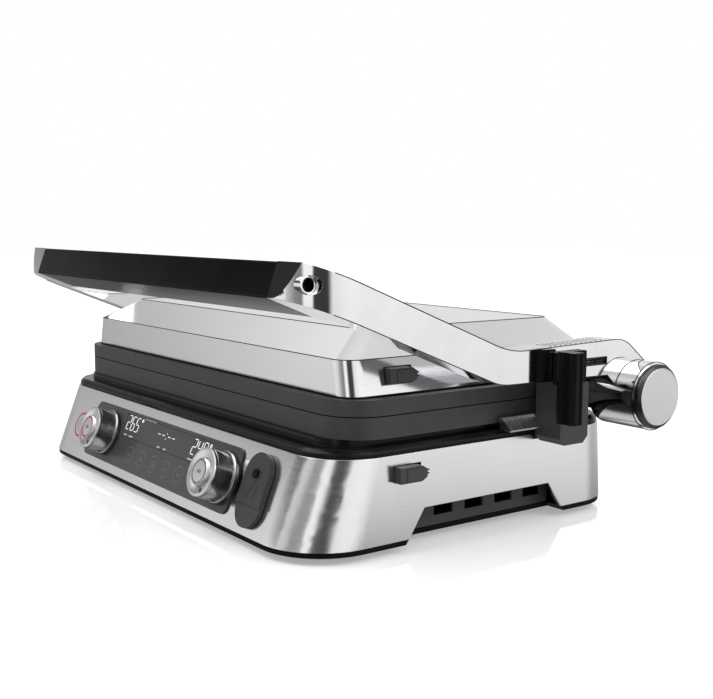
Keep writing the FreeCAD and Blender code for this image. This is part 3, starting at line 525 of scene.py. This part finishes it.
SHAFT_HOLE = 3.1         # radius
DIAL_GAP = 0.3           # from the control panel to the dial
FLANGE = 1.6             # how far the dial's foot stands out
BUTTON_GAP = 0.25        # round the push button
BUTTON_FOOT = 8.0        # from the steel to the push button's lower end


def dial(side, centre):
    """A smoked side, a bright turned face and a pointer."""
    node = f"{side}_dial"
    top = reach(node)
    flange = knob_radius(node, centre)
    base = reach("control_panel") + DIAL_GAP
    knob = flange - FLANGE
    well = knob_radius(f"{side}_dial_button", centre) + BUTTON_GAP
    foot = [(SHAFT_HOLE, base), (flange - 0.4, base), (flange, base + 0.4), (flange, base + 2.4),
            (flange - 0.5, base + 2.9), (knob + 0.3, base + 3.0), (knob, base + 3.5)]
    groove = [(knob, top - 2.6), (knob - 0.35, top - 2.4), (knob - 0.35, top - 2.0), (knob, top - 1.8)]
    face = [(knob, top - 0.7), (knob - 0.25, top - 0.25), (knob - 0.9, top), (knob - 2.4, top - 0.15),
            (well + 0.5, top - 0.9)]
    inside = [(well, top - 1.3), (well, base + 4.4), (SHAFT_HOLE, base + 4.4)]
    marks = [1] * 11 + [0] * 5 + [1] * 3
    mesh = lathe(foot + groove + face + inside, centre, FRONT_NORMAL, closed=True, marks=marks)
    piece(f"{node}_shown", mesh, "turned_metal", node, [node], smooth=38, finishes=["smoked_chrome"])
    pointer = bmesh.new()
    bar(pointer, (5.4, -9.2), (6.9, -11.4), 1.3, top - 0.75, top + 0.06, front_from(centre))
    piece(f"{node}_pointer", pointer, "ink_dark", node)


def dial_button(side, centre):
    """The push button in a dial's middle, with a printed ring and three strokes."""
    node = f"{side}_dial_button"
    radius, top = knob_radius(node, centre), reach(node)
    spot = front_from(centre)
    profile = [(0, BUTTON_FOOT), (radius - 1.5, BUTTON_FOOT), (radius, BUTTON_FOOT), (radius, top - 0.5),
               (radius - 0.35, top - 0.12), (radius - 0.8, top), (radius * 0.5, top + 0.05), (0, top + 0.05)]
    cap = lathe(profile, centre, FRONT_NORMAL)
    piece(f"{node}_shown", cap, "turned_metal", node, [node], smooth=38)
    ring = bmesh.new()
    ring_band(ring, (0, 0), radius - 2.0, radius - 0.85, top - 0.4, top + 0.05, spot)
    piece(f"{node}_ring", ring, "ink_red" if side == "left" else "ink_soft", node)
    glyph = bmesh.new()
    for across in (-1.5, 0, 1.5):
        bar(glyph, (across, -1.1), (across, 1.1), 0.7, top - SUNK, top + 0.1, spot)
    piece(f"{node}_glyph", glyph, "ink_dark", node)


def dials():
    """The left and the right dial, each with its push button."""
    for side, centre in DIAL_CENTRES.items():
        dial(side, centre)
        dial_button(side, centre)


# ---- the display ---------------------------------------------------------------------------------

# The seven strokes of a digit, between corners on a grid one wide and two high.
STROKES = {"top": ((0, 2), (1, 2)), "middle": ((0, 1), (1, 1)), "bottom": ((0, 0), (1, 0)),
           "high_left": ((0, 1), (0, 2)), "high_right": ((1, 1), (1, 2)),
           "low_left": ((0, 0), (0, 1)), "low_right": ((1, 0), (1, 1))}
DIGITS = {"0": "top bottom high_left high_right low_left low_right",
          "2": "top middle bottom high_right low_left",
          "4": "middle high_left high_right low_right",
          "5": "top middle bottom high_left low_right",
          "6": "top middle bottom high_left low_left low_right",
          "-": "middle"}
DIGIT_SLANT = 0.12


def digits(mesh, text, left, foot, size, out):
    """Seven-segment digits, size high. A degree mark is a small ring, written o."""
    width, row_height = size * 0.46, size / 2
    at = left

    def lean(column, row):
        return (at + column * width + row * row_height * DIGIT_SLANT, foot + row * row_height)

    for sign in text:
        if sign == ":":
            for row in (0.6, 1.4):
                across, up = lean(0, row)
                bar(mesh, (across - 0.3, up), (across + 0.3, up), 0.6, out - SUNK, out, front)
            at += width * 0.55
        elif sign == "o":
            ring_band(mesh, lean(0.25, 1.8), 0.7, 1.15, out - SUNK, out, front, steps=16)
            at += width * 0.8
        else:
            for stroke in DIGITS[sign].split():
                start, end = (Vector(lean(*corner)) for corner in STROKES[stroke])
                gap = (end - start).normalized() * 0.45
                bar(mesh, start + gap, end - gap, size * 0.05, out - SUNK, out, front)
            at += width * 1.5


def read_outs(low, high, foot, tall, out):
    """Three lit figures, each with short strokes below it."""
    middle = (low.x + high.x) / 2
    figures, labels = bmesh.new(), bmesh.new()
    for text, left, up, size in (("265o", low.x + 3, 0.34, 0.62), ("--:--", middle - 12, 0.34, 0.56),
                                 ("240o", high.x - 26, 0.30, 0.62)):
        digits(figures, text, left, foot + tall * up, tall * size, out)
    for centre, width in ((low.x + 6, 5), (low.x + 15, 6), (middle - 5, 4), (middle + 4, 4),
                          (high.x - 24, 6), (high.x - 14, 5)):
        for part in range(3):
            left, up = centre - width / 2 + part * width / 3, foot + 1.4
            bar(labels, (left, up), (left + width / 3 - 0.35, up), 1.0, out - SUNK, out, front)
    piece("display_figures", figures, "ink_white", "base")
    piece("display_labels", labels, "ink_light", "base")


def touch_marks(middle, level, pitch, out):
    """Five rings in a row: one, two and three strokes, a minus and a plus."""
    marks = bmesh.new()
    for index, strokes in enumerate((1, 2, 3, 1, 1)):
        across = middle + (index - 2) * pitch
        ring_band(marks, (across, level), 5.4, 5.8, out - SUNK, out, front, steps=32)
        for row in range(strokes):
            up = level + (row - (strokes - 1) / 2) * 1.7
            bar(marks, (across - 2, up), (across + 2, up), 0.6, out - SUNK, out, front)
        if index == 4:
            bar(marks, (across, level - 2), (across, level + 2), 0.6, out - SUNK, out, front)
    piece("touch_marks", marks, "ink_soft", "base")


def display():
    """The glossy panel, its display with three read-outs, and five touch marks below."""
    refined("control_panel", "panel_gloss", 0.5, 3)
    refined("display_window", "panel_gloss", 0.05)
    low, high = corners("display_window")
    foot, head = rise("display_window")
    out = reach("control_panel") + 0.06
    read_outs(low, high, foot, head - foot, out)
    touch_marks((low.x + high.x) / 2 - 5, foot - 10.5, (high.x - low.x) / 6.9, out)


def steel_print():
    """A red turning arrow round a small sign, printed on the steel left of the left dial."""
    centre = (DIAL_CENTRES["left"].x / MM - 55, -2)
    inner, outer, start = 8.0, 9.4, 75
    out = 0.05
    arrow = bmesh.new()
    ring_band(arrow, centre, inner, outer, -SUNK, out, front, start=start, end=375)
    across, up = on_circle(centre, (inner + outer) / 2, start)
    head = [(across - 0.4, up - 2.6), (across + 4.2, up - 0.4), (across - 0.2, up + 2.4)]
    add_solid(arrow, head, -SUNK, out, front)
    piece("turn_mark", arrow, "ink_red", "base")
    sign = bmesh.new()
    ring_band(sign, centre, 4.4, 5.2, -SUNK, out, front, steps=32)
    for row in (-3.6, -2, -0.4):
        bar(sign, (centre[0] - 2.6, row), (centre[0] + 2.6, row), 0.7, -SUNK, out, front)
    piece("turn_mark_sign", sign, "ink_green", "base")


# ---- probe cover, release buttons, adjuster ------------------------------------------------------

COVER_BACK = 0.35        # from the steel to the probe cover's back
PAD_STEP = 0.9           # how far the thumb pad lies below the cover's face


def probe_cover():
    """The oval flap: a raised upper part with a probe sign, and a lower thumb pad a step down."""
    low, high = corners("probe_cover")
    middle, half = (low.x + high.x) / 2, (high.x - low.x) / 2
    left, right = middle - half, middle + half
    foot, head = rise("probe_cover")
    top = reach("probe_cover")
    step = foot + (head - foot) * 0.30
    upper = arc((middle, head - half), half, 0, 180, 32) + [(left, step), (right, step)]
    lower = arc((middle, foot + half), half, 180, 360, 32) + [(right, step - 0.01), (left, step - 0.01)]
    for name, outline, face, stands_for in (("probe_cover_shown", upper, top, ["probe_cover"]),
                                            ("probe_cover_pad", lower, top - PAD_STEP, [])):
        mesh = solid(outline, COVER_BACK, face, front)
        rounded_edges(mesh, 0.7, 3)
        piece(name, mesh, "grey_plastic", "probe_cover", stands_for)
    sign = bmesh.new()
    across, up = middle, (step + head) / 2 - 4
    print_from, print_to = top - SUNK, top + 0.12
    bar(sign, (across - 3.6, up - 7), (across + 2.2, up + 4.5), 1.1, print_from, print_to, front)
    ring_band(sign, (across + 3.4, up + 6.6), 1.6, 2.5, print_from, print_to, front, steps=24)
    bar(sign, (across + 0.6, up - 6.6), (across + 4.4, up - 6.6), 0.9, print_from, print_to, front)
    bar(sign, (across + 4.2, up - 6.4), (across + 4.2, up + 0.5), 0.9, print_from, print_to, front)
    piece("probe_cover_sign", sign, "ink_dark", "probe_cover")
    refined("cover_screw", "black_plastic", 0.25)


def release_buttons():
    """Each plate's release button: a bevelled push key with a tapered end and two small prongs."""
    for level in ("lower", "upper"):
        node = f"{level}_release_button"
        low, high = corners(node)
        length, tall = high.y - low.y, high.z - low.z
        shoulder = high.y - length * 0.2
        key = solid([(low.y, low.z), (shoulder, low.z), (high.y, low.z + tall * 0.24),
                     (high.y, high.z - tall * 0.24), (shoulder, high.z), (low.y, high.z)],
                    low.x, high.x, from_side)
        rounded_edges(key, 0.8, 3)
        piece(f"{node}_shown", key, "grey_plastic", node, [node])
        inset, back, tip = 1.1, low.y + length * 0.24, high.y - 1.4
        pad = solid([(back, low.z + inset), (shoulder - 0.4, low.z + inset), (tip, low.z + tall * 0.3),
                     (tip, high.z - tall * 0.3), (shoulder - 0.4, high.z - inset), (back, high.z - inset)],
                    high.x - 1, high.x + 0.5, from_side)
        rounded_edges(pad, 0.35)
        piece(f"{node}_pad", pad, "grey_plastic", node)
        prongs = bmesh.new()
        for share in (0.36, 0.58):
            start, end, up = high.y - 1, high.y + 2.6, low.z + tall * share
            add_solid(prongs, [(start, up), (end, up), (end, up + 0.8), (start, up + 0.8)],
                      high.x - 2.4, high.x - 1.6, from_side)
        rounded_edges(prongs, 0.15, 1)
        piece(f"{node}_prongs", prongs, "black_plastic", node)
        refined(f"{level}_button_sleeve", "grey_plastic", 0.4)


def adjuster():
    """The height adjuster: slider, chamfered foot, and a thumb paddle with upright grooves."""
    refined("adjuster_slider", "black_plastic", 0.9, 3)
    low, high = corners("adjuster_foot")
    chamfer = 4.0
    foot = solid([(low.y, low.z + chamfer), (low.y + chamfer, low.z), (high.y - chamfer, low.z),
                  (high.y, low.z + chamfer), (high.y, high.z), (low.y, high.z)], low.x, high.x, from_side)
    rounded_edges(foot, 0.8, 3)
    piece("adjuster_foot_shown", foot, "grey_plastic", "adjuster", ["adjuster_foot"])

    low, high = corners("adjuster_paddle")
    deep, wide = high.y - low.y, high.x - low.x
    corner, groove = 3.5, 0.7
    outline = [(low.x, high.y), (low.x, low.y + corner)]
    outline += arc((low.x + corner, low.y + corner), corner, 200, 270, 6)
    for share in (0.46, 0.56, 0.66):
        start = low.x + wide * share
        outline += [(start, low.y), (start + 0.2, low.y + groove), (start + 0.7, low.y + groove),
                    (start + 0.9, low.y)]
    outline += [(high.x - 2.0, low.y), (high.x, low.y + 2.0), (high.x, low.y + deep * 0.58),
                (high.x - 0.8, low.y + deep * 0.61), (high.x - 0.8, low.y + deep * 0.70),
                (high.x, low.y + deep * 0.73), (high.x, high.y - 1), (high.x - 1, high.y)]
    paddle = solid(outline, low.z, high.z, from_above)
    rounded_edges(paddle, 0.3)
    piece("adjuster_paddle_shown", paddle, "black_plastic", "adjuster", ["adjuster_paddle"])


# ---- arms, hinge, handle -------------------------------------------------------------------------

SIDES = {"right": 1, "left": -1}        # which way along X is outwards


def hinge_cap(side):
    """A brushed cap with a polished bevel round a flat satin face; the bevel and a small groove above it are
    painted dark, as painted shade.
    """
    low, high = corners(f"{side}_hinge_cap")
    radius, thick = (high.z - low.z) / 2, high.x - low.x
    pivot = Vector(JOINTS["lid_hinge"]["pos_m"])
    inner = low.x if side == "right" else high.x
    profile = [(0, 0), (radius, 0), (radius, thick * 0.30), (radius - 0.4, thick * 0.34),
               (radius - 0.4, thick * 0.42), (radius, thick * 0.46), (radius - 0.3, thick * 0.66),
               (radius - 2.3, thick - 0.1), (radius - 2.7, thick), (radius - 3.0, thick - 0.06),
               (0, thick - 0.06)]
    # The groove and the bevel take edge_shade, painted shade.
    marks = [1] * 2 + [2] * 5 + [0] * 3
    mesh = lathe(profile, Vector((inner * MM, pivot.y, pivot.z)), X_AXIS * SIDES[side], marks=marks)
    piece(f"{side}_hinge_cap_shown", mesh, "turned_metal", "arms", [f"{side}_hinge_cap"], smooth=25,
          finishes=["chrome_trim", "edge_shade"])


def arm(side):
    """An arm with thin lines of painted shade along its outline."""
    refined(f"{side}_arm", "polished_metal", 0.5)

    def on_outer_face(edge):
        return any(face.normal.x * SIDES[side] > 0.9 for face in edge.link_faces)

    edge_lines(f"{side}_arm_lines", f"{side}_arm", half=0.38, angle=28, chosen=on_outer_face)


def height_scale():
    """Eleven small ribs across the flat top of the right arm, beside the height adjuster."""
    form = BVHTree.FromBMesh(whole_faces("right_arm"))
    low, high = corners("adjuster_slider")
    outer, above = high.x - 6, 300
    ribs = bmesh.new()
    for index in range(11):
        along = low.y + 2 + index * 4.4
        place, normal, *_ = form.ray_cast(Vector((outer - 6, along, above)) * MM, Vector((0, 0, -1)))
        if place is None or normal.z < 0.7:
            continue
        top = place.z / MM
        add_solid(ribs, [(along - 0.9, top - 0.4), (along + 0.9, top - 0.4), (along + 0.6, top + 0.35),
                         (along - 0.6, top + 0.35)], outer - 13, outer - 1.5, from_side)
    rounded_edges(ribs, 0.12, 1)
    piece("height_scale", ribs, "smoked_chrome", "arms")


def holder_ring():
    """The chrome ring in the right arm's corner, with a rounded lip, and painted shade in its recess."""
    low, high = corners("probe_holder_ring")
    outer = (high.z - low.z) / 2
    mount = next(mount for mount in frame["record"]["mounts"] if mount["name"] == "probe_holder")
    bore = mount["dims"]["r_mm"]
    centre = Vector((0, (low.y + high.y) / 2, (low.z + high.z) / 2)) * MM
    recess = low.x + 0.3
    profile = [(0, recess), (bore, recess), (bore, high.x - 0.5), (bore + 0.25, high.x - 0.1),
               (bore + 0.6, high.x), (outer - 0.5, high.x), (outer - 0.15, high.x - 0.15),
               (outer, high.x - 0.6), (outer, low.x), (0, low.x)]
    # The recess's floor and wall take edge_shade, painted shade.
    mesh = lathe(profile, centre, X_AXIS, marks=[1] * 2 + [0] * 7)
    piece("probe_holder_ring_shown", mesh, "chrome_trim", "arms", ["probe_holder_ring"], smooth=40,
          finishes=["edge_shade"])


def rest_tab():
    """The steel tab on the deck's right rim, rising inwards from the rim."""
    low, high = corners("lid_rest_tab")
    middle, half = (low.y + high.y) / 2, (high.y - low.y) * 0.36
    rise_to = high.z + 6
    outline = [(high.x - 9, high.z - 1), (high.x - 1, low.z), (high.x, low.z + 1.2), (high.x - 8, rise_to),
               (high.x - 10.5, rise_to)]
    mesh = solid(outline, middle - half, middle + half, from_front)
    rounded_edges(mesh, 0.4)
    piece("lid_rest_tab_shown", mesh, "bright_aluminium", "base", ["lid_rest_tab"])


# ---- nodes that keep their own form --------------------------------------------------------------

REFINED = {   # finish, and the edges' radius in millimetres
    "steel_skirt": ("brushed_steel", 0.25),
    "base_pan": ("black_plastic", 0.5),
    "top_deck": ("black_gloss", 0.5),
    "side_vents": ("grey_plastic", 0.25),
    "rear_stands": ("black_plastic", 0.6),
    "cord_gland": ("black_plastic", 0.5),
    "drip_tray": ("grey_plastic", 0.5),
    "tray_rails": ("black_plastic", 0.3),
    "upper_frame": ("black_plastic", 0.4),
    "lower_grill_plate": ("nonstick_cast", 0.6),
    "upper_grill_plate": ("nonstick_cast", 0.6),
    "left_hinge_bracket": ("black_plastic", 0.5),
    "right_hinge_bracket": ("black_plastic", 0.5),
    "left_float_pin": ("zinc_screw", 0.3),
    "right_float_pin": ("zinc_screw", 0.3),
    "left_float_bracket": ("dark_steel", 0.4),
    "right_float_bracket": ("dark_steel", 0.4),
    "rubber_feet": ("rubber", 0.4),
    "foot_screws": ("zinc_screw", 0.2),
}
PLAIN = {
    "lower_heater": "dark_steel",
    "upper_heater": "dark_steel",
    "lower_reflector": "bright_aluminium",
    "upper_reflector": "bright_aluminium",
    "display_module": "black_plastic",
    "control_board": "circuit_board",
    "power_board": "circuit_board",
    "left_encoder": "black_plastic",
    "right_encoder": "black_plastic",
    "probe_jack": "black_plastic",
}


def upper_shell():
    """The faceted steel housing, crisp at its creases, with a thin line of painted shade along each."""
    refined("upper_shell", "polished_steel", 0, smooth=16)
    edge_lines("upper_shell_lines", "upper_shell", half=0.32, angle=20)


# ---- camera, floor and studio --------------------------------------------------------------------

def set_out_camera():
    """A level camera, but for its small roll."""
    azimuth, elevation, roll = (math.radians(angle)
                                for angle in (CAMERA_AZIMUTH, CAMERA_ELEVATION, CAMERA_ROLL))
    back = Vector((math.sin(azimuth) * math.cos(elevation), -math.cos(azimuth) * math.cos(elevation),
                   math.sin(elevation)))
    level = (-back).cross(Vector((0, 0, 1))).normalized()
    upright = back.cross(level)
    right = level * math.cos(roll) + upright * math.sin(roll)
    up = upright * math.cos(roll) - level * math.sin(roll)
    data = bpy.data.cameras.new("camera")
    data.lens, data.sensor_width = CAMERA_LENS, CAMERA_SENSOR
    camera = bpy.data.objects.new("camera", data)
    bpy.context.scene.collection.objects.link(camera)
    camera.matrix_world = Matrix.Translation(CAMERA_PLACE) @ Matrix((right, up, back)).transposed().to_4x4()
    bpy.context.scene.camera = camera


FLOOR_HALF = 6.0              # in metres
FLOOR_DROP = 0.0002           # below the feet, in metres
FLOOR_GLOSS = 0.4             # share of mirror reflection
FLOOR_LIFT = 0.34             # light of its own, which keeps it white under the press


def floor():
    """A plain pale floor with a faint gloss."""
    mesh = bmesh.new()
    bmesh.ops.create_grid(mesh, x_segments=4, y_segments=4, size=FLOOR_HALF)
    data = bpy.data.meshes.new("floor")
    mesh.to_mesh(data)
    mesh.free()
    plane = bpy.data.objects.new("floor", data)
    plane.location.z = -FLOOR_DROP
    bpy.context.scene.collection.objects.link(plane)
    material = bpy.data.materials.new("floor")
    material.use_nodes = True
    nodes, links = material.node_tree.nodes, material.node_tree.links
    nodes.remove(nodes["Principled BSDF"])
    matt = nodes.new("ShaderNodeBsdfDiffuse")
    matt.inputs["Color"].default_value = (0.93, 0.93, 0.935, 1)
    gloss = nodes.new("ShaderNodeBsdfGlossy")
    gloss.inputs["Roughness"].default_value = 0.07
    gloss.inputs["Color"].default_value = (0.95, 0.95, 0.95, 1)
    mix = nodes.new("ShaderNodeMixShader")
    mix.inputs["Fac"].default_value = FLOOR_GLOSS
    links.new(matt.outputs[0], mix.inputs[1])
    links.new(gloss.outputs[0], mix.inputs[2])
    lift = nodes.new("ShaderNodeEmission")
    lift.inputs["Strength"].default_value = FLOOR_LIFT
    total = nodes.new("ShaderNodeAddShader")
    links.new(mix.outputs[0], total.inputs[0])
    links.new(lift.outputs[0], total.inputs[1])
    links.new(total.outputs[0], nodes["Material Output"].inputs["Surface"])
    data.materials.append(material)
    plane.visible_glossy = False


WHITE = (1, 1, 1, 1)
FLAG_SHADE = (0.03, 0.03, 0.03, 1)

# The studio all round: brightness against azimuth, in degrees from the front towards the right, near
# the horizon, and brightness against the sine of the elevation. From ROOF_START to ROOF_WHOLE, sines
# too, the studio goes over to a white roof.
STUDIO_ROUND = [(-180, 0.62), (-135, 0.82), (-118, 0.78), (-95, 0.45), (-70, 0.42), (-56, 0.85), (-44, 1.0),
                (-24, 0.85), (2, 0.30), (15, 0.26), (20, 1.1), (33, 1.1), (38, 0.05), (62, 0.05), (70, 0.95),
                (100, 1.1), (143, 1.05), (160, 0.62), (180, 0.62)]
STUDIO_UPWARD = [(-1.0, 0.9), (-0.72, 0.85), (-0.62, 0.16), (-0.27, 0.10), (-0.18, 0.85), (0.0, 1.0),
                 (0.6, 1.0), (0.72, 0.72), (0.84, 0.85), (1.0, 0.98)]
ROOF_START, ROOF_WHOLE = 0.36, 0.62

# A dark flag to the left of the camera: its share against the azimuth and against the sine of the elevation.
FLAG_ROUND = [(-180, 0), (-84, 0), (-74, 1), (-28, 1), (-20, 0), (180, 0)]
FLAG_UPWARD = [(-1.0, 0), (0.17, 0), (0.25, 1), (0.36, 1), (0.43, 0), (1.0, 0)]

LAMPS = {   # place and size in metres, and watts
    "key_light": ((-0.5, -0.9, 1.5), 1.4, 16),
    "fill_light": ((1.2, 0.4, 1.2), 1.2, 9),
}


def ramp_of(tree, value, stops):
    """Greys against a value from 0 to 1, which runs from the first stop's place to the last's."""
    ramp = tree.nodes.new("ShaderNodeValToRGB")
    elements = ramp.color_ramp.elements
    low, high = stops[0][0], stops[-1][0]
    for place, shade in stops[1:-1]:
        elements.new((place - low) / (high - low)).color = (*grey(shade), 1)
    elements[0].color = (*grey(stops[0][1]), 1)
    elements[-1].color = (*grey(stops[-1][1]), 1)
    feed(tree, ramp.inputs["Fac"], value)
    return ramp.outputs["Color"]


def studio():
    """White surroundings with soft dark flags, which give the metal its contrast, and two lamps."""
    world = bpy.data.worlds.new("studio")
    world.use_nodes = True
    bpy.context.scene.world = world
    tree = world.node_tree
    direction = tree.nodes.new("ShaderNodeSeparateXYZ")
    feed(tree, direction.inputs[0], tree.nodes.new("ShaderNodeTexCoord").outputs["Generated"])
    right, back, up = direction.outputs
    turn = maths(tree, "ARCTAN2", right, maths(tree, "MULTIPLY", back, -1))
    azimuth = mapped(tree, turn, -math.pi, math.pi)
    height = mapped(tree, up, -1, 1)
    roof = mapped(tree, up, ROOF_START, ROOF_WHOLE, curve="SMOOTHSTEP")
    walls = mixed(tree, roof, ramp_of(tree, azimuth, STUDIO_ROUND), WHITE)
    lit = mixed(tree, 1, walls, ramp_of(tree, height, STUDIO_UPWARD), "MULTIPLY")
    flag = maths(tree, "MULTIPLY", ramp_of(tree, azimuth, FLAG_ROUND), ramp_of(tree, height, FLAG_UPWARD))
    flagged = mixed(tree, flag, lit, FLAG_SHADE)
    seen = tree.nodes.new("ShaderNodeLightPath").outputs["Is Camera Ray"]
    feed(tree, tree.nodes["Background"].inputs["Color"], mixed(tree, seen, flagged, WHITE))
    for name, (spot, size, power) in LAMPS.items():
        data = bpy.data.lights.new(name, "AREA")
        data.size, data.energy = size, power
        lamp = bpy.data.objects.new(name, data)
        lamp.location = spot
        lamp.rotation_euler = Vector(spot).to_track_quat("Z", "Y").to_euler()
        bpy.context.scene.collection.objects.link(lamp)
    bpy.context.scene.view_settings.view_transform = "Standard"


# ---- the whole press -----------------------------------------------------------------------------

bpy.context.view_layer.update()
set_out_camera()
floor()
studio()
for node, (finish, width) in REFINED.items():
    refined(node, finish, width)
upper_shell()
for node, finish in PLAIN.items():
    plain(node, finish)
rest_tab()
for side in SIDES:
    arm(side)
height_scale()
holder_ring()
refined("handle_grip", "black_plastic", 1.0, 3)
refined("hinge_shaft", "chrome_trim", 0.3)
for side in SIDES:
    hinge_cap(side)
dials()
display()
steel_print()
probe_cover()
release_buttons()
adjuster()
